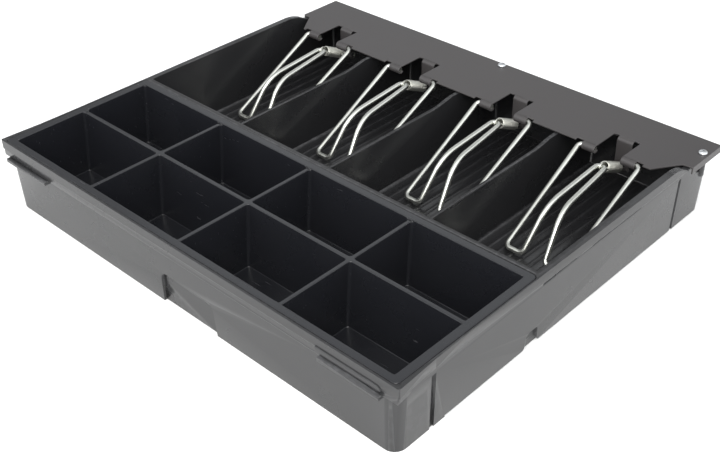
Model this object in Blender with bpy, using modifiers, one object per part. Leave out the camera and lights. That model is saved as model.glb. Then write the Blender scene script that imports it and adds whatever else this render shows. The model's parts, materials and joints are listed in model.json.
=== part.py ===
"""Cash drawer insert: moulded tray with four note compartments, a lift-out coin tray with
eight pockets, a folded sheet cover plate and four spring-loaded wire note clips.

Units are metres, +Z is up, the coin tray is at -Y and the cover plate at +Y.
"""
import math

import bmesh
import bpy
from mathutils import Matrix, Vector

# Overall sizes and running clearance
WIDTH = 0.360
LENGTH = 0.3245
HEIGHT = 0.0511
GAP = 0.0003
HALF = WIDTH / 2
FRONT = -LENGTH / 2
REAR = LENGTH / 2

# Outer walls of the moulded tray: a drafted block under a straight rim
FRONT_WALL = FRONT + 0.0020
WALL_FOOT_X = HALF - 0.0040
WALL_TOP_X = HALF - 0.0028
FRONT_FOOT_Y = FRONT_WALL + 0.0022
FRONT_TOP_Y = FRONT_WALL + 0.0016
REAR_FOOT_Y = REAR - 0.0090
REAR_TOP_Y = REAR - 0.0068
WALL_CORNER = 0.0080
BLOCK_TOP = HEIGHT - 0.0011
FOOT_RAISE = 0.0011
FOOT_RAISE_Y = FRONT_WALL + 0.0415
SKIN = 0.0015

# Rim lip and the band under it
LIP_Z = HEIGHT - 0.0066
LIP_X = HALF - 0.0020
LIP_CHAMFER = 0.0008
LIP_EASE = 0.0004
LIP_EASE_Y = FRONT_WALL + 0.0300
LIP_STRAIGHT_Y = FRONT_WALL + 0.0580
BAND_Z = HEIGHT - 0.0113
BAND_TOP = HEIGHT - 0.0052
BAND_SET = 0.0004
BAND_FRONT_X = HALF - 0.0012
BAND_SIDE_X = HALF - 0.0018
BAND_SIDE_Y = FRONT_WALL + 0.0080
BAND_END_Y = FRONT_WALL + 0.0180

# Finger ledges and the pad on the front wall
LEDGE_ROOT_Y = FRONT_FOOT_Y + 0.0015
LEFT_LEDGE = (-HALF + 0.0060, -HALF + 0.0513)
LEFT_LEDGE_Z = (HEIGHT - 0.0144, HEIGHT - 0.0118)
RIGHT_LEDGE = (HALF - 0.0560, HALF - 0.0120)
RIGHT_LEDGE_Z = (HEIGHT - 0.0137, HEIGHT - 0.0109)
PAD = (HALF - 0.0585, HALF - 0.0125)
PAD_Z = (HEIGHT - 0.0099, HEIGHT - 0.0056)
PAD_ROUND = 0.0026
PAD_PROUD = 0.0006

# Grip recess in the foot of the front wall
GRIP_LEFT = -0.0155
GRIP_RIGHT = 0.0355
GRIP_TOP = 0.0230
GRIP_ROUND = 0.0060
GRIP_LEAN = 0.0020
GRIP_DEPTH = 0.0020

# Coin tray
COIN_X = HALF - 0.0035
COIN_FRONT = FRONT_WALL + 0.0019
COIN_DEPTH = 0.1176
COIN_REAR = COIN_FRONT + COIN_DEPTH
COIN_GAP = 0.0004
COIN_CORNER = 0.0030
RIM_SIDE = 0.0058
RIM_FRONT = 0.0050
RIM_REAR = 0.0052
FLANGE_THICK = 0.0040
COIN_WALL = 0.0015
COIN_BASE = 0.0033
POCKET_FLOOR = COIN_BASE + 0.0017
POCKET_DRAFT_Y = 0.0047
POCKET_DRAFT_X = 0.0010
POCKET_CORNER = 0.0020
POCKET_DROP = 0.0010
ROW_DIVIDER_Y = COIN_FRONT + 0.0605
ROW_DIVIDER_HALF = 0.0013
BASIN_CORNER = 0.0040
BASIN_DRAFT_X = POCKET_DRAFT_X + 0.0012
BASIN_DRAFT_Y = POCKET_DRAFT_Y - 0.0004
RIDGE_TOP_HALF = 0.0008
RIDGE_DROP = 0.0080

# Well that the coin tray hangs in, and the wall behind it
WELL_PLAY = 0.0004
WELL_DRAFT = 0.0020
WELL_REAR_DRAFT = 0.0010
CROSS_WALL_FRONT = COIN_REAR + COIN_GAP
CROSS_WALL_REAR = CROSS_WALL_FRONT + 0.0030

# Dividers and note compartments
DIVIDER_X = (HALF - 0.0060) / 2
DIVIDER_HALF = 0.00125
DIVIDER_TOP = HEIGHT - 0.0091
SIDE_OPENING_X = HALF - 0.0067
NOTE_REAR_Y = REAR_FOOT_Y - 0.0020
NOTE_DRAFT = 0.0009
NOTE_FRONT_DRAFT = 0.0006
NOTE_CORNER = 0.0020
FLOOR_TOP = 0.0020
GROOVE_DEPTH = 0.0008
RIB_PITCH = 0.0080
RIB_WIDTH = 0.0026
RIB_END = 0.0040

# Folded cover plate
PLATE_TOP = HEIGHT - 0.0049
SHEET = 0.0010
SEAT_TOP = PLATE_TOP - SHEET - GAP
PLATE_FRONT = REAR - 0.0572
PLATE_X = HALF - 0.0004
PLATE_CORNER_X = HALF - 0.0075
FLANGE_Y = REAR - 0.0375
PLATE_CORNER_Y = FLANGE_Y - 0.0010
FLANGE_DROP = 0.0053
FLANGE_BITE = 0.0003

# Wire clips
WIRE = 0.0018
CLIP_X = DIVIDER_X / 2
ROLL_OUTER = WIRE + GAP + SHEET
HINGE_Y = PLATE_FRONT + 0.0020
HINGE_Z = PLATE_TOP - ROLL_OUTER
ARM_X = 0.0236
ARM_BEND = 0.0030
ARM_TAPER = 0.0016
CLIP_REACH = 0.0835
CLIP_LEAN = -0.0022
FOOT_Y = HINGE_Y - CLIP_REACH
FOOT_Z = FLOOR_TOP + WIRE + GAP
FOOT_INNER_X = 0.0085
FOOT_BEND = 0.0040
HOOK_Y = HINGE_Y - 0.0083
HOOK_Z = PLATE_TOP - 0.0084
HOOK_X = CLIP_LEAN * (HOOK_Y - FOOT_Y) / CLIP_REACH
HOOK_RADIUS = 0.0033
LEG_LOW = (0.0062, HOOK_Y - 0.0598, HOOK_Z - 0.0120)
LEG_HIGH = (0.0050, HOOK_Y - 0.0508, HOOK_Z - 0.0040)
LEG_LOW_BEND = 0.0120
LEG_HIGH_BEND = 0.0250

# Notches in the plate: one for each clip's spring, and two slots for its arms
NOTCH_SHIFT = -0.0024
NOTCH_HALF = 0.0102
PIN_IN_RIGHT = NOTCH_HALF + NOTCH_SHIFT + 0.0017
PIN_IN_LEFT = NOTCH_HALF - NOTCH_SHIFT + 0.0006
SLOT_IN = ARM_X - ARM_BEND - 0.0002
SLOT_OUT = ARM_X + WIRE + GAP
SLOT_Y = HINGE_Y + 0.0008
PLATE_NOSE_X = 3 * CLIP_X + SLOT_OUT - CLIP_LEAN + 0.0016

# Extension springs, from the hook of a clip to a flap of the plate
SPRING_SLOPE = math.radians(25.6)
SPRING_OUTER = 0.0040
SPRING_WIRE = 0.0005
EYE_RADIUS = WIRE + SPRING_WIRE + 0.0005
SPRING_START = EYE_RADIUS + 0.0001
SPRING_END = SPRING_START + 0.0211
LOOP_HALF = 0.0026
LOOP_END = SPRING_END + 0.0165
LOOP_ROOT = SPRING_END - 0.0008
FLAP_HALF = 0.0060
FLAP_Y = HINGE_Y + 0.0187
FLAP_BEND = 0.0027
FLAP_BITE = 0.0004
RELIEF_Y = FLAP_Y + FLAP_BEND
FLAP_FOOT = HOOK_Z - 0.0146
FLAP_HOLE = 0.0020
FLAP_HOLE_Z = HOOK_Z - 0.0107

# Rims of the tray near the plate: dividers rise under it, side rims drop to it
RISE_START = PLATE_FRONT - 0.0268
RISE_END = PLATE_FRONT - 0.0038
DROP_START = RISE_END
DROP_END = PLATE_FRONT + 0.0164

# Open rear corners of the side walls
REAR_CUT_Y = REAR - 0.0275
REAR_CUT_Z = HEIGHT - 0.0136
REAR_CUT_SLOPE = 0.58

# Screws and the bosses they stand in
SCREW_X = HALF - 0.0048
SCREW_Y = REAR - 0.0175
REAR_SCREW_Y = REAR - 0.0042
SCREW_LENGTH = 0.0110
SHANK = 0.0015
HEAD = 0.0030
HEAD_HEIGHT = 0.0021
RECESS_ARM = 0.0017
RECESS_BLADE = 0.0004
RECESS_FLOOR = 0.0011
SIDE_BOSS = 0.0030
SIDE_BOSS_FOOT = HEIGHT - 0.0211
REAR_BOSS = 0.0028
REAR_BOSS_FOOT = HEIGHT - 0.0271
WEB_HALF = 0.0020
WEB_FOOT = HEIGHT - 0.0251
BOSS_HOLE_FOOT = PLATE_TOP - SCREW_LENGTH - 0.0042

# Grooves and slots of the side walls, as start and length along the wall
GROOVE_X = WALL_FOOT_X - 0.0009
FRONT_GROOVE = (FRONT_WALL + 0.0287, 0.0036)
FRONT_GROOVE_TOP = HEIGHT - 0.0121
REAR_GROOVE = (REAR - 0.0495, 0.0030)
REAR_GROOVE_TOP = HEIGHT - 0.0101
DEEP_SLOT = (CROSS_WALL_FRONT + 0.0050, 0.0124)
DEEP_SLOT_X = WALL_FOOT_X - 0.0014
DEEP_SLOT_Z = HEIGHT - 0.0096
SHORT_SLOT = (CROSS_WALL_FRONT + 0.0181, 0.0195)
LONG_SLOT = (REAR - 0.1484, 0.0529)
SLOT_X = WALL_TOP_X - 0.0012
SLOT_Z = HEIGHT - 0.0086
FOOT_NOTCH = (CROSS_WALL_FRONT - 0.0064, 0.0110)
FOOT_NOTCH_TOP = 0.0120
FOOT_NOTCH_ROUND = 0.0015
FOOT_NOTCH_FLARE = 0.0050
FOOT_NOTCH_X = WALL_FOOT_X - 0.0020

# How far a cutter runs past the material it cuts
OVER = 0.0100

CLIP_CENTRES = [-3 * CLIP_X, -CLIP_X, CLIP_X, 3 * CLIP_X]
DIVIDER_CENTRES = [-DIVIDER_X, 0.0, DIVIDER_X]
SIDES = [-1, 1]

ACROSS_X = Matrix(((0, 0, 1, 0), (1, 0, 0, 0), (0, 1, 0, 0), (0, 0, 0, 1)))
ACROSS_Y = Matrix(((1, 0, 0, 0), (0, 0, -1, 0), (0, 1, 0, 0), (0, 0, 0, 1)))


def clear_scene():
    for item in list(bpy.data.objects):
        bpy.data.objects.remove(item, do_unlink=True)


def new_collection(name):
    group = bpy.data.collections.new(name)
    bpy.context.scene.collection.children.link(group)
    return group


def new_material(name, colour, roughness, metallic):
    material = bpy.data.materials.new(name)
    material.use_nodes = True
    shader = material.node_tree.nodes["Principled BSDF"]
    shader.inputs["Base Color"].default_value = (*colour, 1.0)
    shader.inputs["Roughness"].default_value = roughness
    shader.inputs["Metallic"].default_value = metallic
    return material


def finish_mesh(bm, name):
    bmesh.ops.recalc_face_normals(bm, faces=bm.faces)
    mesh = bpy.data.meshes.new(name)
    bm.to_mesh(mesh)
    bm.free()
    return mesh


def new_object(name, mesh, group, location=(0.0, 0.0, 0.0)):
    item = bpy.data.objects.new(name, mesh)
    item.location = location
    group.objects.link(item)
    return item


def boxes(name, spans):
    """One mesh of separate boxes, each given as (x0, x1, y0, y1, z0, z1)."""
    bm = bmesh.new()
    for x0, x1, y0, y1, z0, z1 in spans:
        centre = Vector(((x0 + x1) / 2, (y0 + y1) / 2, (z0 + z1) / 2))
        size = Matrix.Diagonal((x1 - x0, y1 - y0, z1 - z0, 1.0))
        bmesh.ops.create_cube(bm, size=1.0, matrix=Matrix.Translation(centre) @ size)
    return finish_mesh(bm, name)


def pegs(name, spots, radius, z0, z1, segments=24):
    """One mesh of separate upright cylinders at the given (x, y) spots."""
    bm = bmesh.new()
    for x, y in spots:
        place = Matrix.Translation((x, y, (z0 + z1) / 2))
        bmesh.ops.create_cone(
            bm, cap_ends=True, segments=segments, radius1=radius, radius2=radius,
            depth=z1 - z0, matrix=place,
        )
    return finish_mesh(bm, name)


def rounded_ring(x0, x1, y0, y1, radius, steps):
    """Corner points of a rounded rectangle, counter-clockwise."""
    corners = [
        (x1 - radius, y1 - radius, 0.0),
        (x0 + radius, y1 - radius, math.pi / 2),
        (x0 + radius, y0 + radius, math.pi),
        (x1 - radius, y0 + radius, 3 * math.pi / 2),
    ]
    ring = []
    for cx, cy, start in corners:
        for step in range(steps + 1):
            angle = start + step * math.pi / 2 / steps
            ring.append((cx + radius * math.cos(angle), cy + radius * math.sin(angle)))
    return ring


def lofts(name, pieces):
    """Drafted blocks between a lower and an upper rounded rectangle.

    Each piece is (lower, upper, z0, z1, radius, steps); a rectangle is (x0, x1, y0, y1).
    """
    bm = bmesh.new()
    for lower, upper, z0, z1, radius, steps in pieces:
        low = [bm.verts.new((x, y, z0)) for x, y in rounded_ring(*lower, radius, steps)]
        high = [bm.verts.new((x, y, z1)) for x, y in rounded_ring(*upper, radius, steps)]
        count = len(low)
        for i in range(count):
            j = (i + 1) % count
            bm.faces.new((low[i], low[j], high[j], high[i]))
        bm.faces.new(list(reversed(low)))
        bm.faces.new(high)
    return finish_mesh(bm, name)


def mesh_of_curve(holder, name, group):
    """Replace a curve object with a welded mesh object in the same place."""
    bpy.context.scene.collection.objects.link(holder)
    bpy.context.view_layer.update()
    graph = bpy.context.evaluated_depsgraph_get()
    mesh = bpy.data.meshes.new_from_object(holder.evaluated_get(graph))
    mesh.name = name
    bm = bmesh.new()
    bm.from_mesh(mesh)
    bmesh.ops.remove_doubles(bm, verts=bm.verts, dist=0.00001)
    bmesh.ops.recalc_face_normals(bm, faces=bm.faces)
    bm.to_mesh(mesh)
    bm.free()
    item = bpy.data.objects.new(name, mesh)
    item.matrix_world = holder.matrix_world.copy()
    group.objects.link(item)
    bpy.data.objects.remove(holder, do_unlink=True)
    return item


def plate_of_outline(name, points, depth, placement, group):
    """A flat outline given thickness, centred on the placement's own plane."""
    curve = bpy.data.curves.new(name + "_outline", "CURVE")
    curve.dimensions = "2D"
    curve.fill_mode = "BOTH"
    curve.extrude = depth / 2
    spline = curve.splines.new("POLY")
    spline.points.add(len(points) - 1)
    for point, (u, v) in zip(spline.points, points):
        point.co = (u, v, 0.0, 1.0)
    spline.use_cyclic_u = True
    holder = bpy.data.objects.new(name + "_outline", curve)
    holder.matrix_world = placement
    return mesh_of_curve(holder, name, group)


def tube(name, points, radius, closed, origin, group):
    """Round wire along a path of points, with its object origin where it is asked for."""
    curve = bpy.data.curves.new(name + "_path", "CURVE")
    curve.dimensions = "3D"
    curve.bevel_depth = radius
    curve.bevel_resolution = 2
    curve.use_fill_caps = True
    spline = curve.splines.new("POLY")
    spline.points.add(len(points) - 1)
    for point, spot in zip(spline.points, points):
        point.co = (*(Vector(spot) - Vector(origin)), 1.0)
    spline.use_cyclic_u = closed
    holder = bpy.data.objects.new(name + "_path", curve)
    holder.location = origin
    return mesh_of_curve(holder, name, group)


def arc(cy, cz, radius, start, end, steps):
    """Points of a circular arc in a plane, angles in degrees."""
    points = []
    for step in range(steps + 1):
        angle = math.radians(start + (end - start) * step / steps)
        points.append((cy + radius * math.cos(angle), cz + radius * math.sin(angle)))
    return points


def rounded_path(corners, radii, steps):
    """A polyline whose inner corners are replaced by arcs of the given radii."""
    path = [Vector(corners[0])]
    for i in range(1, len(corners) - 1):
        before = Vector(corners[i - 1])
        here = Vector(corners[i])
        after = Vector(corners[i + 1])
        back = (before - here).normalized()
        ahead = (after - here).normalized()
        half = back.angle(ahead) / 2
        reach = radii[i - 1] / math.tan(half)
        centre = here + (back + ahead).normalized() * radii[i - 1] / math.sin(half)
        start = here + back * reach - centre
        turn = math.pi - 2 * half
        axis = start.cross(here + ahead * reach - centre).normalized()
        for step in range(steps + 1):
            path.append(centre + Matrix.Rotation(turn * step / steps, 3, axis) @ start)
    path.append(Vector(corners[-1]))
    return path


def combine(target, tool, operation):
    """Join or cut with a hidden tool object."""
    tool.hide_render = True
    tool.display_type = "WIRE"
    modifier = target.modifiers.new(tool.name, "BOOLEAN")
    modifier.operation = operation
    modifier.solver = "EXACT"
    modifier.object = tool


def cut(target, name, mesh, group):
    combine(target, new_object(name, mesh, group), "DIFFERENCE")


def join(target, name, mesh, group):
    combine(target, new_object(name, mesh, group), "UNION")


def spans_between(low, high):
    """X spans left between the two ends by the three dividers."""
    edges = [low]
    for centre in DIVIDER_CENTRES:
        edges += [centre - DIVIDER_HALF, centre + DIVIDER_HALF]
    edges.append(high)
    return [(edges[i], edges[i + 1]) for i in range(0, len(edges), 2)]


def on_side(side, inner, outer, *rest):
    """A box span from inner to outer, mirrored to the given side."""
    return (min(side * inner, side * outer), max(side * inner, side * outer), *rest)


def rim_profile():
    """Side view of what is removed above the rims and the rear of the tray."""
    drop = HEIGHT - SEAT_TOP
    run = DROP_END - DROP_START
    radius = (run * run + drop * drop) / (2 * drop)
    sweep = math.degrees(math.asin(run / radius))
    before = DROP_START - 0.001
    profile = arc(DROP_START, HEIGHT - radius, radius, 90, 90 - sweep, 10)
    profile.append((REAR + OVER, SEAT_TOP))
    profile.append((REAR + OVER, HEIGHT + OVER))
    profile.append((before, HEIGHT + OVER))
    profile.append((before, HEIGHT + 0.0001))
    return profile


def divider_profile():
    """Side view of the space above the note dividers, whose tops rise under the plate."""
    high = SEAT_TOP - 0.0001
    end = NOTE_REAR_Y - 0.001
    profile = [(CROSS_WALL_REAR, DIVIDER_TOP)]
    steps = 8
    for step in range(steps + 1):
        t = step / steps
        blend = t * t * (3 - 2 * t)
        y = RISE_START + (RISE_END - RISE_START) * t
        profile.append((y, DIVIDER_TOP + (high - DIVIDER_TOP) * blend))
    profile.append((end, high))
    profile.append((end, HEIGHT + OVER))
    profile.append((CROSS_WALL_REAR, HEIGHT + OVER))
    return profile


def foot_notch_profile():
    """Side view of the rounded notch in the foot of the side wall."""
    y0 = FOOT_NOTCH[0]
    y1 = y0 + FOOT_NOTCH[1]
    soft = FOOT_NOTCH_FLARE
    inner = FOOT_NOTCH_ROUND
    profile = [(y0 - soft, -OVER)]
    profile += arc(y0 - soft, soft, soft, -90, 0, 6)
    profile += arc(y0 + inner, FOOT_NOTCH_TOP - inner, inner, 180, 90, 4)
    profile += arc(y1 - inner, FOOT_NOTCH_TOP - inner, inner, 90, 0, 4)
    profile += arc(y1 + soft, soft, soft, 180, 270, 6)
    profile.append((y1 + soft, -OVER))
    return profile


def rear_corner_profile():
    """Side view of the opening in the rear corner of a side wall, under the plate."""
    end = REAR + OVER
    low = REAR_CUT_Z - REAR_CUT_SLOPE * (end - REAR_CUT_Y)
    return [(REAR_CUT_Y, REAR_CUT_Z), (end, low), (end, HEIGHT + OVER), (REAR_CUT_Y, HEIGHT + OVER)]


def add_front_details(body, tools):
    lip_right = [
        (HALF - LIP_CHAMFER, FRONT_WALL), (HALF, FRONT_WALL + LIP_CHAMFER),
        (LIP_X + LIP_EASE, LIP_EASE_Y), (LIP_X, LIP_STRAIGHT_Y), (LIP_X, DROP_END + 0.0008),
    ]
    lip = lip_right + [(-x, y) for x, y in reversed(lip_right)]
    place = Matrix.Translation((0.0, 0.0, (LIP_Z + HEIGHT) / 2))
    combine(body, plate_of_outline("lip", lip, HEIGHT - LIP_Z, place, tools), "UNION")

    band_right = [
        (BAND_FRONT_X, FRONT_WALL + BAND_SET), (BAND_SIDE_X, BAND_SIDE_Y), (WALL_FOOT_X, BAND_END_Y),
    ]
    band = band_right + [(-x, y) for x, y in reversed(band_right)]
    place = Matrix.Translation((0.0, 0.0, (BAND_Z + BAND_TOP) / 2))
    combine(body, plate_of_outline("front_band", band, BAND_TOP - BAND_Z, place, tools), "UNION")

    ledges = [
        (*LEFT_LEDGE, FRONT, LEDGE_ROOT_Y, *LEFT_LEDGE_Z),
        (*RIGHT_LEDGE, FRONT, LEDGE_ROOT_Y, *RIGHT_LEDGE_Z),
    ]
    join(body, "ledges", boxes("ledges", ledges), tools)
    pad = [(PAD[0], PAD_Z[1]), (PAD[0], PAD_Z[0]), (PAD[1], PAD_Z[0])]
    pad += arc(PAD[1] - PAD_ROUND, PAD_Z[1] - PAD_ROUND, PAD_ROUND, 0, 90, 4)
    pad_front = FRONT_WALL - PAD_PROUD
    place = Matrix.Translation((0.0, (pad_front + LEDGE_ROOT_Y) / 2, 0.0)) @ ACROSS_Y
    combine(body, plate_of_outline("pad", pad, LEDGE_ROOT_Y - pad_front, place, tools), "UNION")

    low = GRIP_TOP - GRIP_ROUND
    grip = [(GRIP_LEFT, -OVER), (GRIP_RIGHT, -OVER)]
    grip += arc(GRIP_RIGHT - GRIP_LEAN - GRIP_ROUND, low, GRIP_ROUND, 15, 90, 5)
    grip += arc(GRIP_LEFT + 0.0005 + GRIP_ROUND, low, GRIP_ROUND, 90, 172, 5)
    back = FRONT_FOOT_Y + GRIP_DEPTH
    place = Matrix.Translation((0.0, back - OVER, 0.0)) @ ACROSS_Y
    combine(body, plate_of_outline("grip_recess", grip, 2 * OVER, place, tools), "DIFFERENCE")


def cut_coin_well(body, tools):
    opening = (-COIN_X - COIN_GAP, COIN_X + COIN_GAP, COIN_FRONT - COIN_GAP, CROSS_WALL_FRONT)
    seat = HEIGHT - FLANGE_THICK - GAP
    seat_cut = lofts("coin_seat", [(opening, opening, seat, HEIGHT + OVER, COIN_CORNER + COIN_GAP, 4)])
    cut(body, "coin_seat", seat_cut, tools)
    well_x = COIN_X - RIM_SIDE + COIN_WALL + WELL_PLAY
    well_front = COIN_FRONT + RIM_FRONT - COIN_WALL - WELL_PLAY
    well_rear = COIN_REAR - RIM_REAR + COIN_WALL + WELL_PLAY
    low = (
        -well_x + WELL_DRAFT, well_x - WELL_DRAFT,
        well_front + WELL_DRAFT, well_rear - WELL_REAR_DRAFT,
    )
    high = (-well_x, well_x, well_front, well_rear)
    well = lofts("coin_well", [(low, high, FLOOR_TOP, seat + 0.002, BASIN_CORNER, 4)])
    cut(body, "coin_well", well, tools)


def cut_note_compartments(body, tools):
    blocks = []
    grooves = []
    grow = 0.0002
    for x0, x1 in spans_between(-SIDE_OPENING_X, SIDE_OPENING_X):
        floor = (
            x0 + NOTE_DRAFT, x1 - NOTE_DRAFT,
            CROSS_WALL_REAR + NOTE_FRONT_DRAFT, NOTE_REAR_Y - NOTE_DRAFT,
        )
        brim = (x0 - grow, x1 + grow, CROSS_WALL_REAR, NOTE_REAR_Y + grow)
        blocks.append((floor, brim, FLOOR_TOP, HEIGHT + OVER, NOTE_CORNER, 3))
        count = int((x1 - x0 - 2 * NOTE_DRAFT - RIB_WIDTH) / RIB_PITCH)
        first = (x0 + x1) / 2 - count * RIB_PITCH / 2
        for i in range(count):
            groove_left = first + i * RIB_PITCH + RIB_WIDTH / 2
            groove_right = first + (i + 1) * RIB_PITCH - RIB_WIDTH / 2
            grooves.append((
                groove_left, groove_right, CROSS_WALL_REAR + RIB_END, NOTE_REAR_Y - RIB_END,
                FLOOR_TOP - GROOVE_DEPTH, FLOOR_TOP + 0.001,
            ))
    cut(body, "note_compartments", lofts("note_compartments", blocks), tools)
    cut(body, "floor_grooves", boxes("floor_grooves", grooves), tools)
    width = 2 * SIDE_OPENING_X - 0.0006
    above = plate_of_outline("above_dividers", divider_profile(), width, ACROSS_X, tools)
    combine(body, above, "DIFFERENCE")
    rear = plate_of_outline("rear_rims", rim_profile(), WIDTH + 2 * OVER, ACROSS_X, tools)
    combine(body, rear, "DIFFERENCE")


def add_rear_bosses(body, tools):
    corner_inner = SIDE_OPENING_X + SKIN
    for side, name in zip(SIDES, ("rear_corner_left", "rear_corner_right")):
        place = Matrix.Translation((side * (corner_inner + OVER), 0.0, 0.0)) @ ACROSS_X
        corner = plate_of_outline(name, rear_corner_profile(), 2 * OVER, place, tools)
        combine(body, corner, "DIFFERENCE")
    side_spots = [(side * SCREW_X, SCREW_Y) for side in SIDES]
    side_bosses = pegs("side_bosses", side_spots, SIDE_BOSS, SIDE_BOSS_FOOT, SEAT_TOP)
    join(body, "side_bosses", side_bosses, tools)
    web = [(-WEB_HALF, WEB_HALF, NOTE_REAR_Y + 0.0008, REAR_SCREW_Y, WEB_FOOT, SEAT_TOP - 0.0004)]
    join(body, "rear_web", boxes("rear_web", web), tools)
    rear_spot = [(0.0, REAR_SCREW_Y)]
    rear_boss = pegs("rear_boss", rear_spot, REAR_BOSS, REAR_BOSS_FOOT, SEAT_TOP)
    join(body, "rear_boss", rear_boss, tools)
    holes = pegs(
        "boss_holes", side_spots + rear_spot, SHANK + GAP, BOSS_HOLE_FOOT, HEIGHT + OVER, 16,
    )
    cut(body, "boss_holes", holes, tools)


def cut_side_details(body, tools):
    feet = []
    grooves = []
    deep_slots = []
    short_slots = []
    long_slots = []
    outer = HALF + OVER
    for side in SIDES:
        feet.append(on_side(side, GROOVE_X - 0.0007, outer, FOOT_RAISE_Y, REAR + OVER, -OVER, FOOT_RAISE))
        for (start, length), top in ((FRONT_GROOVE, FRONT_GROOVE_TOP), (REAR_GROOVE, REAR_GROOVE_TOP)):
            grooves.append(on_side(side, GROOVE_X, outer, start, start + length, -OVER, top))
        start, length = DEEP_SLOT
        deep_slots.append(on_side(side, DEEP_SLOT_X, outer, start, start + length, DEEP_SLOT_Z, LIP_Z))
        for (start, length), group in ((SHORT_SLOT, short_slots), (LONG_SLOT, long_slots)):
            group.append(on_side(side, SLOT_X, outer, start, start + length, SLOT_Z, LIP_Z + 0.0001))
    cut(body, "raised_foot", boxes("raised_foot", feet), tools)
    cut(body, "side_grooves", boxes("side_grooves", grooves), tools)
    cut(body, "deep_slots", boxes("deep_slots", deep_slots), tools)
    cut(body, "short_slots", boxes("short_slots", short_slots), tools)
    cut(body, "long_slots", boxes("long_slots", long_slots), tools)
    for side, name in zip(SIDES, ("foot_notch_left", "foot_notch_right")):
        place = Matrix.Translation((side * (FOOT_NOTCH_X + OVER), 0.0, 0.0)) @ ACROSS_X
        notch = plate_of_outline(name, foot_notch_profile(), 2 * OVER, place, tools)
        combine(body, notch, "DIFFERENCE")


def build_tray_body(group, tools, material):
    lower = (-WALL_FOOT_X, WALL_FOOT_X, FRONT_FOOT_Y, REAR_FOOT_Y)
    upper = (-WALL_TOP_X, WALL_TOP_X, FRONT_TOP_Y, REAR_TOP_Y)
    block = lofts("tray_body", [(lower, upper, 0.0, BLOCK_TOP, WALL_CORNER, 6)])
    body = new_object("tray_body", block, group)
    body.data.materials.append(material)
    add_front_details(body, tools)
    cut_coin_well(body, tools)
    cut_note_compartments(body, tools)
    add_rear_bosses(body, tools)
    cut_side_details(body, tools)
    return body


def build_coin_tray(group, tools, material):
    skin_x = COIN_X - RIM_SIDE + COIN_WALL
    skin_front = COIN_FRONT + RIM_FRONT - COIN_WALL
    skin_rear = COIN_REAR - RIM_REAR + COIN_WALL
    seat = HEIGHT - FLANGE_THICK
    low = (
        -skin_x + BASIN_DRAFT_X, skin_x - BASIN_DRAFT_X,
        skin_front + BASIN_DRAFT_Y, skin_rear - BASIN_DRAFT_Y,
    )
    high = (-skin_x, skin_x, skin_front, skin_rear)
    basin = lofts("coin_tray", [(low, high, COIN_BASE, seat + 0.0010, BASIN_CORNER, 4)])
    body = new_object("coin_tray", basin, group)
    body.data.materials.append(material)
    rim = (-COIN_X, COIN_X, COIN_FRONT, COIN_REAR)
    join(body, "coin_flange", lofts("coin_flange", [(rim, rim, seat, HEIGHT, COIN_CORNER, 4)]), tools)

    pocket_x = COIN_X - RIM_SIDE
    y_front = COIN_FRONT + RIM_FRONT
    y_rear = COIN_REAR - RIM_REAR
    rows = [(y_front, ROW_DIVIDER_Y - ROW_DIVIDER_HALF), (ROW_DIVIDER_Y + ROW_DIVIDER_HALF, y_rear)]
    depth = HEIGHT - POCKET_FLOOR
    rise = 0.005
    gx = POCKET_DRAFT_X * rise / depth
    gy = POCKET_DRAFT_Y * rise / depth
    pockets = []
    for x0, x1 in spans_between(-pocket_x, pocket_x):
        for y0, y1 in rows:
            floor = (
                x0 + POCKET_DRAFT_X, x1 - POCKET_DRAFT_X,
                y0 + POCKET_DRAFT_Y, y1 - POCKET_DRAFT_Y,
            )
            brim = (x0 - gx, x1 + gx, y0 - gy, y1 + gy)
            pockets.append((floor, brim, POCKET_FLOOR, HEIGHT + rise, POCKET_CORNER, 4))
    cut(body, "coin_pockets", lofts("coin_pockets", pockets), tools)
    inset = 0.0002
    dip = [(
        -pocket_x + inset, pocket_x - inset, y_front + inset, y_rear - inset,
        HEIGHT - POCKET_DROP, HEIGHT + OVER,
    )]
    cut(body, "divider_dip", boxes("divider_dip", dip), tools)
    foot = ROW_DIVIDER_HALF + POCKET_DRAFT_Y - COIN_WALL
    top = HEIGHT - RIDGE_DROP
    ridge = [
        (ROW_DIVIDER_Y - foot, COIN_BASE - 0.002), (ROW_DIVIDER_Y + foot, COIN_BASE - 0.002),
        (ROW_DIVIDER_Y + RIDGE_TOP_HALF, top), (ROW_DIVIDER_Y - RIDGE_TOP_HALF, top),
    ]
    length = 2 * (pocket_x - 0.0030)
    combine(body, plate_of_outline("row_hollow", ridge, length, ACROSS_X, tools), "DIFFERENCE")
    return body


def cut_plate_notches(body, tools):
    """Clip notches, reliefs beside the knuckles and arm slots, along the plate's front edge."""
    notches = []
    reliefs = []
    slots = []
    low = PLATE_TOP - 2 * SHEET
    high = PLATE_TOP + SHEET
    front = PLATE_FRONT - OVER
    for cx in CLIP_CENTRES:
        middle = cx + NOTCH_SHIFT
        arms = cx + CLIP_LEAN
        notches.append((middle - NOTCH_HALF, middle + NOTCH_HALF, front, RELIEF_Y, low, high))
        reliefs.append((arms - SLOT_OUT, arms + SLOT_OUT, front, HINGE_Y, low, high))
        slots.append((arms - SLOT_OUT, arms - SLOT_IN, PLATE_FRONT, SLOT_Y, low, high))
        slots.append((arms + SLOT_IN, arms + SLOT_OUT, PLATE_FRONT, SLOT_Y, low, high))
    cut(body, "knuckle_reliefs", boxes("knuckle_reliefs", reliefs), tools)
    cut(body, "arm_slots", boxes("arm_slots", slots), tools)
    cut(body, "clip_notches", boxes("clip_notches", notches), tools)


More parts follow.
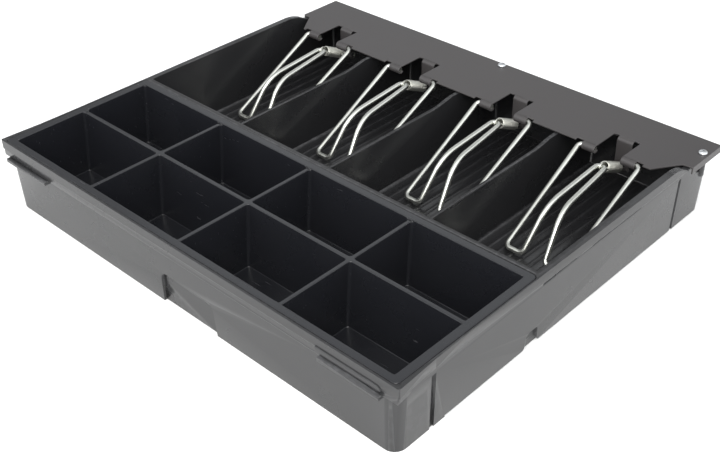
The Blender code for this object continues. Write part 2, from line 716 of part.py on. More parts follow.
def flap_profile():
    """Side view of a flap, bent down from the plate at the back of a notch."""
    centre_z = PLATE_TOP - FLAP_BEND
    inner = FLAP_BEND - SHEET
    profile = [(RELIEF_Y + FLAP_BITE, PLATE_TOP - 0.0001)]
    profile += arc(RELIEF_Y, centre_z - 0.0001, FLAP_BEND, 90, 180, 8)
    profile += [(FLAP_Y, FLAP_FOOT), (FLAP_Y + SHEET, FLAP_FOOT)]
    profile += arc(RELIEF_Y, centre_z + 0.0001, inner, 180, 90, 6)
    profile.append((RELIEF_Y + FLAP_BITE, PLATE_TOP - SHEET + 0.0001))
    return profile


def build_cover_plate(group, tools, material):
    place = Matrix.Translation((0.0, 0.0, PLATE_TOP - SHEET / 2))
    right = [
        (PLATE_NOSE_X, PLATE_FRONT), (PLATE_CORNER_X, PLATE_CORNER_Y), (PLATE_X, FLANGE_Y),
        (PLATE_X, REAR),
    ]
    outline = right + [(-x, y) for x, y in reversed(right)]
    body = plate_of_outline("cover_plate", outline, SHEET, place, group)
    body.data.materials.append(material)
    cut_plate_notches(body, tools)

    inside = PLATE_TOP - FLANGE_BITE
    flange_z = PLATE_TOP - FLANGE_DROP
    flanges = [on_side(side, PLATE_X - SHEET, PLATE_X, FLANGE_Y, REAR, flange_z, inside) for side in SIDES]
    join(body, "side_flanges", boxes("side_flanges", flanges), tools)
    rear_x = PLATE_X - 0.0004
    rear = [(-rear_x, rear_x, REAR - SHEET, REAR, flange_z, inside - 0.0002)]
    join(body, "rear_flange", boxes("rear_flange", rear), tools)

    roll = arc(HINGE_Y, HINGE_Z, ROLL_OUTER, 76, 325, 20)
    roll += arc(HINGE_Y, HINGE_Z, ROLL_OUTER - SHEET, 325, 76, 16)
    for index, cx in enumerate(CLIP_CENTRES, start=1):
        middle = cx + NOTCH_SHIFT
        arms = cx + CLIP_LEAN
        pieces = [
            ("flap_%d", flap_profile(), middle - FLAP_HALF, middle + FLAP_HALF),
            ("roll_left_%d", roll, arms - SLOT_IN, middle - NOTCH_HALF),
            ("roll_right_%d", roll, middle + NOTCH_HALF, arms + SLOT_IN),
        ]
        for label, profile, x0, x1 in pieces:
            place = Matrix.Translation(((x0 + x1) / 2, 0.0, 0.0)) @ ACROSS_X
            combine(body, plate_of_outline(label % index, profile, x1 - x0, place, tools), "UNION")

    spots = [(SCREW_X, SCREW_Y), (0.0, REAR_SCREW_Y)]
    holes = pegs("plate_holes", spots, SHANK + GAP, PLATE_TOP - 0.004, PLATE_TOP + 0.004, 16)
    cut(body, "plate_holes", holes, tools)
    bm = bmesh.new()
    for cx in CLIP_CENTRES:
        place = Matrix.Translation((cx + HOOK_X, FLAP_Y, FLAP_HOLE_Z)) @ Matrix.Rotation(math.pi / 2, 4, "X")
        bmesh.ops.create_cone(
            bm, cap_ends=True, segments=16, radius1=FLAP_HOLE, radius2=FLAP_HOLE,
            depth=0.004 + 2 * SHEET, matrix=place,
        )
    cut(body, "flap_holes", finish_mesh(bm, "flap_holes"), tools)
    return body


def clip_path(cx):
    """Centre line of one wire clip, from pin to pin, leaning sideways toward its hinge."""
    half = [
        (PIN_IN_RIGHT - CLIP_LEAN, HINGE_Y, HINGE_Z),
        (ARM_X, HINGE_Y, HINGE_Z),
        (ARM_X - ARM_TAPER, FOOT_Y, FOOT_Z),
        (FOOT_INNER_X, FOOT_Y, FOOT_Z),
        LEG_LOW,
        LEG_HIGH,
        (HOOK_RADIUS, HOOK_Y - HOOK_RADIUS, HOOK_Z),
    ]
    radii = [ARM_BEND, FOOT_BEND, FOOT_BEND, LEG_LOW_BEND, LEG_HIGH_BEND]
    right = rounded_path(half, radii, 6)
    left = [Vector((-spot.x, spot.y, spot.z)) for spot in reversed(right)]
    left[-1].x = -PIN_IN_LEFT - CLIP_LEAN
    bend = []
    for step in range(1, 12):
        angle = math.pi * step / 12
        y = HOOK_Y - HOOK_RADIUS + HOOK_RADIUS * math.sin(angle)
        bend.append(Vector((HOOK_RADIUS * math.cos(angle), y, HOOK_Z)))
    path = right + bend + left
    for spot in path:
        spot.x += cx + CLIP_LEAN * (spot.y - FOOT_Y) / CLIP_REACH
    return path


def along_spring(cx, s, offset):
    """A point at distance s along the spring from the clip's hook, offset across it."""
    y = HOOK_Y + s * math.cos(SPRING_SLOPE) + offset * math.sin(SPRING_SLOPE)
    z = HOOK_Z - s * math.sin(SPRING_SLOPE) + offset * math.cos(SPRING_SLOPE)
    return Vector((cx, y, z))


def build_spring(index, clip_centre, group, tools, material):
    cx = clip_centre + HOOK_X
    origin = (cx, HOOK_Y, HOOK_Z)
    bm = bmesh.new()
    middle = along_spring(0.0, (SPRING_START + SPRING_END) / 2, 0.0) - Vector((0.0, HOOK_Y, HOOK_Z))
    turn = Matrix.Rotation(math.pi / 2 - SPRING_SLOPE, 4, "X")
    bmesh.ops.create_cone(
        bm, cap_ends=True, segments=24, radius1=SPRING_OUTER, radius2=SPRING_OUTER,
        depth=SPRING_END - SPRING_START, matrix=Matrix.Translation(middle) @ turn,
    )
    name = "clip_spring_%d" % index
    body = new_object(name, finish_mesh(bm, name), group, origin)
    body.data.materials.append(material)

    eye = []
    for step in range(20):
        angle = 2 * math.pi * step / 20
        eye.append(along_spring(cx, EYE_RADIUS * math.cos(angle), EYE_RADIUS * math.sin(angle)))
    eye_ring = tube("eye_%d" % index, eye, SPRING_WIRE, True, origin, tools)
    combine(body, eye_ring, "UNION")

    far = LOOP_END - LOOP_HALF
    loop = [along_spring(cx, LOOP_ROOT, LOOP_HALF)]
    for step in range(13):
        angle = math.pi / 2 - math.pi * step / 12
        loop.append(along_spring(cx, far + LOOP_HALF * math.cos(angle), LOOP_HALF * math.sin(angle)))
    loop.append(along_spring(cx, LOOP_ROOT, -LOOP_HALF))
    combine(body, tube("loop_%d" % index, loop, SPRING_WIRE, False, origin, tools), "UNION")
    return body


def build_screw(name, x, y, group, tools, material):
    """Pan head screw with a cross recess, standing on the cover plate."""
    profile = [
        (0.0, HEAD_HEIGHT), (HEAD * 0.37, HEAD_HEIGHT * 0.96), (HEAD * 0.68, HEAD_HEIGHT * 0.78),
        (HEAD * 0.92, HEAD_HEIGHT * 0.48), (HEAD, HEAD_HEIGHT * 0.22), (HEAD, 0.0), (SHANK, 0.0),
        (SHANK, 0.0012 - SCREW_LENGTH), (0.0, -SCREW_LENGTH),
    ]
    bm = bmesh.new()
    verts = [bm.verts.new((r, 0.0, z)) for r, z in profile]
    for i in range(len(verts) - 1):
        bm.edges.new((verts[i], verts[i + 1]))
    mesh = bpy.data.meshes.new(name)
    bm.to_mesh(mesh)
    bm.free()
    seat = PLATE_TOP + GAP
    body = new_object(name, mesh, group, (x, y, seat))
    mesh.materials.append(material)
    turned = body.modifiers.new("turned", "SCREW")
    turned.axis = "Z"
    turned.steps = 24
    turned.render_steps = 24
    turned.use_merge_vertices = True
    turned.merge_threshold = 0.00001
    arm = RECESS_ARM
    blade = RECESS_BLADE
    low = seat + RECESS_FLOOR
    high = seat + HEAD_HEIGHT + 0.002
    along = [(x - arm, x + arm, y - blade, y + blade, low, high)]
    across = [(x - blade, x + blade, y - arm, y + arm, low, high)]
    cut(body, name + "_recess_a", boxes(name + "_recess_a", along), tools)
    cut(body, name + "_recess_b", boxes(name + "_recess_b", across), tools)
    return body


def smooth(item):
    item.data.shade_smooth()
    item.data.set_sharp_from_angle(angle=math.radians(35))


def main():
    clear_scene()
    parts = new_collection("cash_drawer_insert")
    tools = new_collection("cutters")

    moulding = new_material("black_moulding", (0.030, 0.031, 0.033), 0.32, 0.0)
    coin_moulding = new_material("coin_moulding", (0.022, 0.023, 0.027), 0.28, 0.0)
    painted = new_material("painted_sheet", (0.075, 0.072, 0.072), 0.42, 0.0)
    plated = new_material("plated_wire", (0.72, 0.73, 0.70), 0.18, 1.0)
    spring_steel = new_material("spring_wire", (0.66, 0.66, 0.62), 0.28, 1.0)
    screw_steel = new_material("screw_steel", (0.70, 0.71, 0.73), 0.24, 1.0)

    build_tray_body(parts, tools, moulding)
    build_coin_tray(parts, tools, coin_moulding)
    build_cover_plate(parts, tools, painted)
    for index, cx in enumerate(CLIP_CENTRES, start=1):
        origin = (cx, HINGE_Y, HINGE_Z)
        wire = tube("clip_wire_%d" % index, clip_path(cx), WIRE, False, origin, parts)
        wire.data.materials.append(plated)
        smooth(wire)
        build_spring(index, cx, parts, tools, spring_steel)
    build_screw("plate_screw_right", SCREW_X, SCREW_Y, parts, tools, screw_steel)
    build_screw("plate_screw_rear", 0.0, REAR_SCREW_Y, parts, tools, screw_steel)


main()
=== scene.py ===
"""Studio view of the cash drawer insert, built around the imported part."""
import json
import math

import bmesh
import bpy
from mathutils import Matrix, Vector


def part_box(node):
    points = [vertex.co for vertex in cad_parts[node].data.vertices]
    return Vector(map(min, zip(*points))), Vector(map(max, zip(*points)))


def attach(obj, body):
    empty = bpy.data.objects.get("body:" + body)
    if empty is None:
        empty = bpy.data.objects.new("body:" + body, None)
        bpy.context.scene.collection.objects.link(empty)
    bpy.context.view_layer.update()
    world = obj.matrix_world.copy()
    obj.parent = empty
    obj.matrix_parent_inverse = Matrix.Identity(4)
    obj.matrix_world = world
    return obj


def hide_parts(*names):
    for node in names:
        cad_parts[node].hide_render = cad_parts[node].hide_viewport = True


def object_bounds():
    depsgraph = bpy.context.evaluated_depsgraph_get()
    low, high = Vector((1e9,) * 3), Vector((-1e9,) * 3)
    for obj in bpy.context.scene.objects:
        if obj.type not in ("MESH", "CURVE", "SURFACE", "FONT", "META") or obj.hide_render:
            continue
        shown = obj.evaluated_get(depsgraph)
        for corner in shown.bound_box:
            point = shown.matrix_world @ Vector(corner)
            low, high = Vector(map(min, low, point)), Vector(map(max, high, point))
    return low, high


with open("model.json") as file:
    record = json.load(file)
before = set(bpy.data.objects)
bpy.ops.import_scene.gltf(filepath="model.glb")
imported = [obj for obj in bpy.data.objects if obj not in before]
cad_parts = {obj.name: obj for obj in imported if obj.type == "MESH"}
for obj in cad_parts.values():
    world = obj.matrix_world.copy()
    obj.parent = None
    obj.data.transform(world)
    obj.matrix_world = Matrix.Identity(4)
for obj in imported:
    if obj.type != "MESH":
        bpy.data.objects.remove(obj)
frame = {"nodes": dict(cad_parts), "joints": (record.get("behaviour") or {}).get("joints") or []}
bounds_at_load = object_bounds()

# Wire clips, as the CAD has them
CLIPS = (1, 2, 3, 4)
WIRE_RADIUS = 0.0018
HOOK_RADIUS = 0.0033
RIGHT_PIN = 0.0095
LEFT_PIN = 0.0132
ARM_TAPER = 0.0016
FOOT_INNER = 0.0085
LEG_LOW = (0.0062, -0.0598, -0.0120)
LEG_HIGH = (0.0050, -0.0508, -0.0040)
CLIP_BENDS = [0.0030, 0.0040, 0.0040, 0.0120, 0.0250]
BEND_STEPS = 10
HOOK_STEPS = 20
WIRE_STEP = 0.004
WIRE_SIDES = 20

# Extension springs, measured along the spring from the clip's hook
SLOPE = math.radians(25.6)
SPRING_OUTER = 0.0040
SPRING_WIRE = 0.0005
SPRING_SIDES = 8
EYE = 0.0028
EYE_STEPS = 24
COIL_START = 0.0034
COIL_END = 0.0238
COIL_STEPS = 22
COIL_SPACING = 1.04
LOOP_END = 0.0405
LOOP_HALF = 0.0026
LOOP_STEPS = 16

# Pan head screws
HEAD_HEIGHT = 0.0021
HEAD_BAND = 0.0004
SHANK = 0.0015
TIP = 0.0012
TURNS = 40
DOME_STEPS = 8
RECESS = (0.0034, 0.0007, 0.0030)
RECESS_LIFT = 0.0004
RECESS_TAPER = 0.55
RECESS_TURN = 0.35

# Softened edges of the mouldings and the plate
COIN_EDGE = 0.00050
PLATE_EDGE = 0.00022
WELD = 0.000002
FLAT_ANGLE = math.radians(0.05)
SOFT_ANGLE = math.radians(30.0)


# ---------------------------------------------------------------- materials

def node(tree, kind, **sockets):
    made = tree.nodes.new(kind)
    for name, value in sockets.items():
        made.inputs[name.replace("_", " ")].default_value = value
    return made


def object_point(tree):
    """Position on the piece, in metres, the same at every pose."""
    return tree.nodes.new("ShaderNodeTexCoord").outputs["Object"]


def ramp(tree, source, stops, low, high):
    """Remap a value from the interval stops to the interval low to high."""
    made = tree.nodes.new("ShaderNodeMapRange")
    made.inputs["From Min"].default_value = stops[0]
    made.inputs["From Max"].default_value = stops[1]
    made.inputs["To Min"].default_value = low
    made.inputs["To Max"].default_value = high
    tree.links.new(source, made.inputs["Value"])
    return made.outputs["Result"]


def blank(name):
    material = bpy.data.materials.new(name)
    material.use_nodes = True
    tree = material.node_tree
    return material, tree, tree.nodes["Principled BSDF"]


def noise(tree, point, scale, detail=4.0, rough=0.55, stretch=(1.0, 1.0, 1.0)):
    mapping = tree.nodes.new("ShaderNodeMapping")
    mapping.inputs["Scale"].default_value = stretch
    tree.links.new(point, mapping.inputs["Vector"])
    made = node(tree, "ShaderNodeTexNoise", Scale=scale, Detail=detail, Roughness=rough)
    tree.links.new(mapping.outputs["Vector"], made.inputs["Vector"])
    return made.outputs["Fac"]


def mix_colour(tree, factor, first, second):
    made = tree.nodes.new("ShaderNodeMix")
    made.data_type = "RGBA"
    tree.links.new(factor, made.inputs[0])
    made.inputs[6].default_value = (*first, 1.0)
    made.inputs[7].default_value = (*second, 1.0)
    return made.outputs[2]


def combine(tree, operation, a, b):
    """One arithmetic step between two outputs or numbers."""
    made = tree.nodes.new("ShaderNodeMath")
    made.operation = operation
    for socket, value in zip(made.inputs, (a, b)):
        if hasattr(value, "is_output"):
            tree.links.new(value, socket)
        else:
            socket.default_value = value
    return made.outputs["Value"]


def rounded_edges(tree, radius):
    """Normals rounded over the edges, and how far each point is turned by that rounding."""
    made = tree.nodes.new("ShaderNodeBevel")
    made.samples = 6
    made.inputs["Radius"].default_value = radius
    flat = tree.nodes.new("ShaderNodeNewGeometry")
    across = tree.nodes.new("ShaderNodeVectorMath")
    across.operation = "DOT_PRODUCT"
    tree.links.new(made.outputs["Normal"], across.inputs[0])
    tree.links.new(flat.outputs["True Normal"], across.inputs[1])
    turned = ramp(tree, across.outputs["Value"], (0.995, 0.90), 0.0, 1.0)
    return made.outputs["Normal"], turned


def bump(tree, shader, height, strength, distance, normal=None):
    made = tree.nodes.new("ShaderNodeBump")
    if normal is not None:
        tree.links.new(normal, made.inputs["Normal"])
    made.inputs["Strength"].default_value = strength
    made.inputs["Distance"].default_value = distance
    tree.links.new(height, made.inputs["Height"])
    tree.links.new(made.outputs["Normal"], shader.inputs["Normal"])


def scratches(tree, point, turn, scale, threshold):
    """Thin straight scuffs: the valleys of a noise drawn out along one direction."""
    mapping = tree.nodes.new("ShaderNodeMapping")
    mapping.inputs["Rotation"].default_value = turn
    mapping.inputs["Scale"].default_value = (1.0, 22.0, 6.0)
    tree.links.new(point, mapping.inputs["Vector"])
    made = node(tree, "ShaderNodeTexNoise", Scale=scale, Detail=3.0, Roughness=0.6)
    tree.links.new(mapping.outputs["Vector"], made.inputs["Vector"])
    return ramp(tree, made.outputs["Fac"], (threshold, threshold + 0.06), 0.0, 1.0)


SCUFFED = (0.16, 0.16, 0.17, 1.0)
RUBBED = (0.20, 0.20, 0.20, 1.0)


def moulded_plastic(name, dark, light, rough_low, rough_high, scuffs, edge):
    """Satin black moulding: faint flow clouding, spark-eroded grain, a few scuffs, worn edges."""
    material, tree, shader = blank(name)
    point = object_point(tree)
    cloud = noise(tree, point, 14.0, 5.0)
    grain = noise(tree, point, 2600.0, 2.0)
    waves = noise(tree, point, 60.0, 2.0)
    rub = noise(tree, point, 240.0, 4.0)
    marks = scratches(tree, point, (0.3, 0.2, 0.9), 55.0, 0.70)
    normal, turned = rounded_edges(tree, edge)
    worn = combine(tree, "MULTIPLY", turned, ramp(tree, rub, (0.45, 0.70), 0.10, 0.45))
    colour = mix_colour(tree, cloud, dark, light)
    lift = tree.nodes.new("ShaderNodeMix")
    lift.data_type = "RGBA"
    scuffed = combine(tree, "MULTIPLY", marks, scuffs)
    pale = combine(tree, "MAXIMUM", scuffed, combine(tree, "MULTIPLY", worn, 0.5))
    tree.links.new(pale, lift.inputs[0])
    tree.links.new(colour, lift.inputs[6])
    lift.inputs[7].default_value = SCUFFED
    tree.links.new(lift.outputs[2], shader.inputs["Base Color"])
    rough = ramp(tree, cloud, (0.3, 0.7), rough_low, rough_high)
    rough = combine(tree, "ADD", rough, combine(tree, "MULTIPLY", marks, 0.15))
    tree.links.new(rough, shader.inputs["Roughness"])
    fine = combine(tree, "MULTIPLY", grain, 0.25)
    height = combine(tree, "ADD", fine, combine(tree, "MULTIPLY", waves, 0.75))
    bump(tree, shader, height, 0.10, 0.0003, normal)
    shader.inputs["Specular IOR Level"].default_value = 0.55
    return material


def painted_sheet(name):
    """Dark satin paint on folded steel, with a fine orange-peel surface and rubbed edges."""
    material, tree, shader = blank(name)
    point = object_point(tree)
    cloud = noise(tree, point, 9.0, 4.0)
    peel = noise(tree, point, 900.0, 3.0)
    rub = noise(tree, point, 200.0, 4.0)
    normal, turned = rounded_edges(tree, 0.0003)
    worn = combine(tree, "MULTIPLY", turned, ramp(tree, rub, (0.45, 0.70), 0.05, 0.40))
    colour = mix_colour(tree, cloud, (0.036, 0.033, 0.034), (0.048, 0.044, 0.044))
    lift = tree.nodes.new("ShaderNodeMix")
    lift.data_type = "RGBA"
    tree.links.new(worn, lift.inputs[0])
    tree.links.new(colour, lift.inputs[6])
    lift.inputs[7].default_value = RUBBED
    tree.links.new(lift.outputs[2], shader.inputs["Base Color"])
    tree.links.new(ramp(tree, cloud, (0.3, 0.7), 0.38, 0.48), shader.inputs["Roughness"])
    bump(tree, shader, peel, 0.18, 0.0002, normal)
    return material


def plated_steel(name, colour, rough_low, rough_high, stretch):
    """Bright zinc plating with faint drawing lines."""
    material, tree, shader = blank(name)
    point = object_point(tree)
    patch = noise(tree, point, 90.0, 4.0)
    drawn = noise(tree, point, 1500.0, 2.0, 0.5, stretch)
    warm = tuple(c * f for c, f in zip(colour, (0.90, 0.90, 0.86)))
    tree.links.new(mix_colour(tree, patch, colour, warm), shader.inputs["Base Color"])
    shader.inputs["Metallic"].default_value = 1.0
    tree.links.new(ramp(tree, patch, (0.3, 0.7), rough_low, rough_high), shader.inputs["Roughness"])
    bump(tree, shader, drawn, 0.12, 0.0001)
    return material


tray_plastic = moulded_plastic(
    "tray_black", dark=(0.011, 0.011, 0.012), light=(0.016, 0.016, 0.017),
    rough_low=0.24, rough_high=0.32, scuffs=0.10, edge=0.0004)
coin_plastic = moulded_plastic(
    "coin_black", dark=(0.008, 0.0085, 0.011), light=(0.012, 0.0125, 0.015),
    rough_low=0.22, rough_high=0.30, scuffs=0.25, edge=0.0006)
sheet_paint = painted_sheet("plate_paint")
wire_plating = plated_steel("wire_plating", (0.66, 0.67, 0.64), 0.30, 0.38, (1.0, 0.05, 0.05))
spring_plating = plated_steel("spring_plating", (0.60, 0.60, 0.56), 0.38, 0.46, (1.0, 1.0, 1.0))
screw_plating = plated_steel("screw_plating", (0.66, 0.68, 0.71), 0.24, 0.34, (1.0, 1.0, 1.0))


# ---------------------------------------------------------------- geometry helpers

def welded_copy(name, source, merge_flats=True):
    """A piece with the CAD node's shape, its triangles merged back into flat faces if asked."""
    bm = bmesh.new()
    bm.from_mesh(frame["nodes"][source].data)
    bmesh.ops.remove_doubles(bm, verts=bm.verts, dist=WELD)
    if merge_flats:
        bmesh.ops.dissolve_limit(
            bm, angle_limit=FLAT_ANGLE, verts=bm.verts, edges=bm.edges, delimit=set(),
        )
    mesh = bpy.data.meshes.new(name)
    bm.to_mesh(mesh)
    bm.free()
    piece = bpy.data.objects.new(name, mesh)
    bpy.context.scene.collection.objects.link(piece)
    return piece


def soften(piece, width, segments):
    """Round the sharp edges, as a mould or a press does, and keep the flats flat."""
    piece.data.shade_smooth()
    bevel = piece.modifiers.new("soft_edges", "BEVEL")
    bevel.limit_method = "ANGLE"
    bevel.angle_limit = SOFT_ANGLE
    bevel.width = width
    bevel.segments = segments
    bevel.use_clamp_overlap = False
    bevel.miter_outer = "MITER_ARC"
    weigh = piece.modifiers.new("flat_faces", "WEIGHTED_NORMAL")
    weigh.mode = "FACE_AREA"
    weigh.weight = 50
    apply_modifiers(piece)


def keep_flats(piece):
    """Smooth shading over the rounded walls, with the flats and sharp edges kept."""
    piece.data.shade_smooth()
    piece.data.set_sharp_from_angle(angle=SOFT_ANGLE)
    weigh = piece.modifiers.new("flat_faces", "WEIGHTED_NORMAL")
    weigh.mode = "FACE_AREA"
    weigh.weight = 50
    weigh.keep_sharp = True
    apply_modifiers(piece)


def apply_modifiers(piece):
    graph = bpy.context.evaluated_depsgraph_get()
    mesh = bpy.data.meshes.new_from_object(piece.evaluated_get(graph))
    piece.modifiers.clear()
    piece.data = mesh


def coat(piece, material):
    piece.data.materials.clear()
    piece.data.materials.append(material)


def shade(piece, material, angle):
    coat(piece, material)
    piece.data.shade_smooth()
    piece.data.set_sharp_from_angle(angle=math.radians(angle))


def finish_piece(piece, body, nodes):
    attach(piece, body)
    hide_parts(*nodes)


def swept_tube(bm, path, radius, sides):
    """Round wire along a path, with a frame carried along it so that it doesn't twist."""
    count = len(path)
    points = [Vector(p) for p in path]
    tangents = []
    for i in range(count):
        tangent = points[min(i + 1, count - 1)] - points[max(i - 1, 0)]
        tangents.append(tangent.normalized())
    side = tangents[0].orthogonal().normalized()
    rings = []
    for i in range(count):
        if i:
            side = tangents[i - 1].rotation_difference(tangents[i]) @ side
        side = (side - tangents[i] * side.dot(tangents[i])).normalized()
        other = tangents[i].cross(side)
        ring = []
        for k in range(sides):
            angle = 2 * math.pi * k / sides
            offset = side * math.cos(angle) + other * math.sin(angle)
            ring.append(bm.verts.new(points[i] + offset * radius))
        rings.append(ring)
    for here, ahead in zip(rings, rings[1:]):
        for k in range(sides):
            j = (k + 1) % sides
            bm.faces.new((here[k], here[j], ahead[j], ahead[k]))
    bm.faces.new(list(reversed(rings[0])))
    bm.faces.new(rings[-1])


def mesh_piece(name, bm):
    bmesh.ops.recalc_face_normals(bm, faces=bm.faces)
    mesh = bpy.data.meshes.new(name)
    bm.to_mesh(mesh)
    bm.free()
    piece = bpy.data.objects.new(name, mesh)
    bpy.context.scene.collection.objects.link(piece)
    return piece


def rounded_path(corners, radii, steps):
    """A polyline whose inner corners are replaced by arcs of the given radii."""
    path = [Vector(corners[0])]
    for i in range(1, len(corners) - 1):
        here = Vector(corners[i])
        back = (Vector(corners[i - 1]) - here).normalized()
        ahead = (Vector(corners[i + 1]) - here).normalized()
        half = back.angle(ahead) / 2
        reach = radii[i - 1] / math.tan(half)
        centre = here + (back + ahead).normalized() * radii[i - 1] / math.sin(half)
        start = here + back * reach - centre
        axis = start.cross(here + ahead * reach - centre).normalized()
        turn = math.pi - 2 * half
        for step in range(steps + 1):
            path.append(centre + Matrix.Rotation(turn * step / steps, 3, axis) @ start)
    path.append(Vector(corners[-1]))
    return path


# ---------------------------------------------------------------- mouldings and plate

tray = welded_copy("outer_tray", "tray_body", merge_flats=False)
keep_flats(tray)
coat(tray, tray_plastic)
finish_piece(tray, "tray", ["tray_body"])

coin = welded_copy("coin_insert", "coin_tray")
soften(coin, COIN_EDGE, 3)
coat(coin, coin_plastic)
finish_piece(coin, "coin_tray", ["coin_tray"])

plate = welded_copy("folded_plate", "cover_plate")
soften(plate, PLATE_EDGE, 2)
coat(plate, sheet_paint)
finish_piece(plate, "tray", ["cover_plate"])


# ---------------------------------------------------------------- wire clips and springs

joints = {joint["name"]: joint for joint in frame["joints"]}


def clip_path(index):
    """Centre line of a clip from pin to pin, from the hinge's place and the node's box."""
    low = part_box("clip_wire_%d" % index)[0]
    cx, hinge_y, hinge_z = joints["clip_%d_hinge" % index]["pos_m"]
    hook = joints["spring_%d_pivot" % index]["pos_m"]
    foot_y = low.y + WIRE_RADIUS
    foot_z = low.z + WIRE_RADIUS
    lean = (hook[0] - cx) / (hook[1] - foot_y) * (hinge_y - foot_y)
    arm = cx + lean - WIRE_RADIUS - low.x
    half = [
        (RIGHT_PIN - lean, hinge_y, hinge_z),
        (arm, hinge_y, hinge_z),
        (arm - ARM_TAPER, foot_y, foot_z),
        (FOOT_INNER, foot_y, foot_z),
        (LEG_LOW[0], hook[1] + LEG_LOW[1], hook[2] + LEG_LOW[2]),
        (LEG_HIGH[0], hook[1] + LEG_HIGH[1], hook[2] + LEG_HIGH[2]),
        (HOOK_RADIUS, hook[1] - HOOK_RADIUS, hook[2]),
    ]
    right = rounded_path(half, CLIP_BENDS, BEND_STEPS)
    left = [Vector((-p.x, p.y, p.z)) for p in reversed(right)]
    left[-1].x = -LEFT_PIN - lean
    bend = []
    for step in range(1, HOOK_STEPS):
        angle = math.pi * step / HOOK_STEPS
        y = hook[1] - HOOK_RADIUS + HOOK_RADIUS * math.sin(angle)
        bend.append(Vector((HOOK_RADIUS * math.cos(angle), y, hook[2])))
    path = right + bend + left
    for spot in path:
        spot.x += cx + lean * (spot.y - foot_y) / (hinge_y - foot_y)
    return path


def resampled(path, step):
    """The same path with points no further apart than step, for smooth shading along it."""
    points = [path[0]]
    for a, b in zip(path, path[1:]):
        pieces = max(1, int((b - a).length / step))
        for i in range(1, pieces + 1):
            points.append(a.lerp(b, i / pieces))
    return points


def on_spring(hook, s, across, side=0.0):
    y = s * math.cos(SLOPE) + across * math.sin(SLOPE)
    z = -s * math.sin(SLOPE) + across * math.cos(SLOPE)
    return Vector((hook[0] + side, hook[1] + y, hook[2] + z))


def spring_path(hook):
    """One wire: front eye, close coil, rear loop."""
    points = []
    coil_r = SPRING_OUTER - SPRING_WIRE
    pitch = 2 * SPRING_WIRE * COIL_SPACING
    turns = (COIL_END - COIL_START) / pitch
    for step in range(EYE_STEPS):
        angle = math.radians(60 + 300 * step / (EYE_STEPS - 1))
        points.append(on_spring(hook, EYE * math.cos(angle), EYE * math.sin(angle)))
    start = points[-1]
    first = on_spring(hook, COIL_START, 0.0, coil_r)
    for t in (0.35, 0.7):
        points.append(start.lerp(first, t))
    steps = int(turns * COIL_STEPS)
    for step in range(steps + 1):
        angle = 2 * math.pi * turns * step / steps
        s = COIL_START + (COIL_END - COIL_START) * step / steps
        points.append(on_spring(hook, s, coil_r * math.sin(angle), coil_r * math.cos(angle)))
    end = points[-1]
    far = LOOP_END - LOOP_HALF
    into = on_spring(hook, COIL_END + 0.0016, LOOP_HALF)
    for t in (0.4, 0.75):
        points.append(end.lerp(into, t))
    points.append(into)
    for step in range(LOOP_STEPS + 1):
        angle = math.pi / 2 - math.pi * step / LOOP_STEPS
        points.append(on_spring(hook, far + LOOP_HALF * math.cos(angle), LOOP_HALF * math.sin(angle)))
    points.append(on_spring(hook, COIL_END + 0.0012, -LOOP_HALF))
    return points


for index in CLIPS:
    bm = bmesh.new()
    swept_tube(bm, resampled(clip_path(index), WIRE_STEP), WIRE_RADIUS, WIRE_SIDES)
    wire = mesh_piece("note_clip_%d" % index, bm)
    shade(wire, wire_plating, 50.0)
    finish_piece(wire, "clip_%d" % index, ["clip_wire_%d" % index])

    bm = bmesh.new()
    coil = spring_path(joints["spring_%d_pivot" % index]["pos_m"])
    swept_tube(bm, coil, SPRING_WIRE, SPRING_SIDES)
    spring = mesh_piece("tension_spring_%d" % index, bm)
    shade(spring, spring_plating, 60.0)
    finish_piece(spring, "spring_%d" % index, ["clip_spring_%d" % index])


# ---------------------------------------------------------------- screws

def turned_solid(bm, centre, profile):
    """A solid of revolution about a vertical line, closed at its top and bottom points."""
    rings = []
    for r, z in profile:
        if r < 1e-6:
            rings.append([bm.verts.new((centre.x, centre.y, z))])
            continue
        ring = []
        for k in range(TURNS):
            angle = 2 * math.pi * k / TURNS
            x = centre.x + r * math.cos(angle)
            y = centre.y + r * math.sin(angle)
            ring.append(bm.verts.new((x, y, z)))
        rings.append(ring)
    for a, b in zip(rings, rings[1:]):
        for k in range(TURNS):
            j = (k + 1) % TURNS
            if len(a) == 1:
                bm.faces.new((a[0], b[k], b[j]))
            elif len(b) == 1:
                bm.faces.new((a[k], b[0], a[j]))
            else:
                bm.faces.new((a[k], b[k], b[j], a[j]))


def cut_recess_arm(screw, spot, turn):
    """One arm of the cross recess, narrower at its foot."""
    tool = bmesh.new()
    bmesh.ops.create_cube(tool, size=1.0)
    for v in tool.verts:
        taper = 1.0 if v.co.z > 0 else RECESS_TAPER
        v.co = Vector((v.co.x * RECESS[0] * taper, v.co.y * RECESS[1], v.co.z * RECESS[2]))
    tool.transform(Matrix.Translation(spot) @ Matrix.Rotation(turn, 4, "Z"))
    recess = mesh_piece(screw.name + "_recess", tool)
    cut = screw.modifiers.new("recess", "BOOLEAN")
    cut.operation = "DIFFERENCE"
    cut.solver = "EXACT"
    cut.object = recess
    bpy.context.view_layer.update()
    apply_modifiers(screw)
    bpy.data.objects.remove(recess, do_unlink=True)


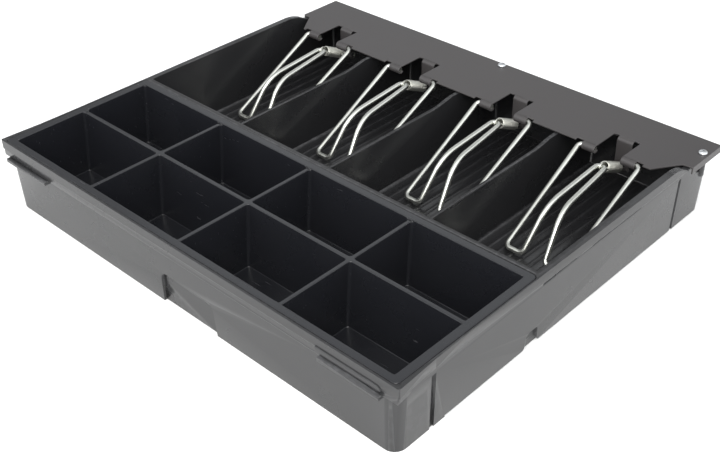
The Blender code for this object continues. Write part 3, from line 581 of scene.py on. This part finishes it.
def pan_screw(name, source):
    """Pan head with a domed top, a tapered cross recess and a shank."""
    low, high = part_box(source)
    centre = (low + high) / 2
    radius = (high.x - low.x) / 2
    seat = high.z - HEAD_HEIGHT
    profile = []
    for step in range(DOME_STEPS + 1):
        angle = math.pi / 2 * step / DOME_STEPS
        dome = (HEAD_HEIGHT - HEAD_BAND) * math.cos(angle)
        profile.append((radius * math.sin(angle), seat + HEAD_BAND + dome))
    profile += [(radius, seat), (SHANK, seat), (SHANK, low.z + TIP), (0.0, low.z)]
    bm = bmesh.new()
    turned_solid(bm, centre, profile)
    screw = mesh_piece(name, bm)
    spot = (centre.x, centre.y, high.z + RECESS_LIFT)
    for turn in (RECESS_TURN, RECESS_TURN + math.pi / 2):
        cut_recess_arm(screw, spot, turn)
    shade(screw, screw_plating, 40.0)
    finish_piece(screw, "tray", [source])


pan_screw("pan_screw_right", "plate_screw_right")
pan_screw("pan_screw_rear", "plate_screw_rear")


# ---------------------------------------------------------------- floor, light, camera

FLOOR_SIZE = 4.0
FLOOR_DROP = 0.0002
floor_mesh = bmesh.new()
bmesh.ops.create_grid(floor_mesh, x_segments=1, y_segments=1, size=FLOOR_SIZE)
floor = mesh_piece("studio_floor", floor_mesh)
floor.location.z = bounds_at_load[0][2] - FLOOR_DROP
floor_material, _, floor_shader = blank("pale_floor")
floor_shader.inputs["Base Color"].default_value = (0.92, 0.92, 0.92, 1.0)
floor_shader.inputs["Roughness"].default_value = 0.9
floor.data.materials.append(floor_material)


def area_light(name, spot, size, power, colour):
    """A rectangular softbox aimed at the middle of the floor."""
    data = bpy.data.lights.new(name, "AREA")
    data.shape = "RECTANGLE"
    data.size = size[0]
    data.size_y = size[1]
    data.energy = power
    data.color = colour
    lamp = bpy.data.objects.new(name, data)
    lamp.location = spot
    lamp.rotation_euler = (-Vector(spot)).to_track_quat("-Z", "Y").to_euler()
    bpy.context.scene.collection.objects.link(lamp)


area_light("key", (0.9, -1.5, 1.7), (1.6, 1.2), 46.0, (1.0, 0.985, 0.95))
area_light("back", (-1.3, 1.5, 1.5), (1.4, 1.0), 3.0, (0.93, 0.97, 1.0))

# The sky is dimmer behind and to the left, where the level rims mirror it
DIM_SIDE = (-0.50, 0.66, 0.56)
DIM_SPREAD = (0.20, 0.85)
SKY_BRIGHT = 1.80
SKY_DIM = 0.50
world = bpy.data.worlds.new("studio")
world.use_nodes = True
bpy.context.scene.world = world
background = world.node_tree.nodes["Background"]
background.inputs["Color"].default_value = (0.97, 0.985, 1.0, 1.0)
world_tree = world.node_tree
sky_point = world_tree.nodes.new("ShaderNodeTexCoord").outputs["Generated"]
toward = world_tree.nodes.new("ShaderNodeVectorMath")
toward.operation = "DOT_PRODUCT"
world_tree.links.new(sky_point, toward.inputs[0])
toward.inputs[1].default_value = DIM_SIDE
dimmed = ramp(world_tree, toward.outputs["Value"], DIM_SPREAD, SKY_BRIGHT, SKY_DIM)
world_tree.links.new(dimmed, background.inputs["Strength"])
bpy.context.scene.view_settings.view_transform = "Standard"

SPOT = (0.4375, -0.45175, 0.4224)
SENSOR = 36.0
FOCAL_SHARE = 1090.5 / 720.0
AZIMUTH = math.radians(44.04)
ELEVATION = math.radians(35.13)
ROLL = math.radians(-1.12)
back = Vector((
    math.sin(AZIMUTH) * math.cos(ELEVATION),
    -math.cos(AZIMUTH) * math.cos(ELEVATION),
    math.sin(ELEVATION),
))
right = (-back).cross(Vector((0.0, 0.0, 1.0))).normalized()
up = right.cross(-back)
x_axis = math.cos(ROLL) * right + math.sin(ROLL) * up
y_axis = -math.sin(ROLL) * right + math.cos(ROLL) * up
camera_data = bpy.data.cameras.new("photo_view")
camera_data.sensor_width = SENSOR
camera_data.lens = SENSOR * FOCAL_SHARE
camera_data.clip_start = 0.01
camera = bpy.data.objects.new("photo_view", camera_data)
camera.matrix_world = Matrix((
    (x_axis.x, y_axis.x, back.x, SPOT[0]),
    (x_axis.y, y_axis.y, back.y, SPOT[1]),
    (x_axis.z, y_axis.z, back.z, SPOT[2]),
    (0.0, 0.0, 0.0, 1.0),
))
bpy.context.scene.collection.objects.link(camera)
bpy.context.scene.camera = camera
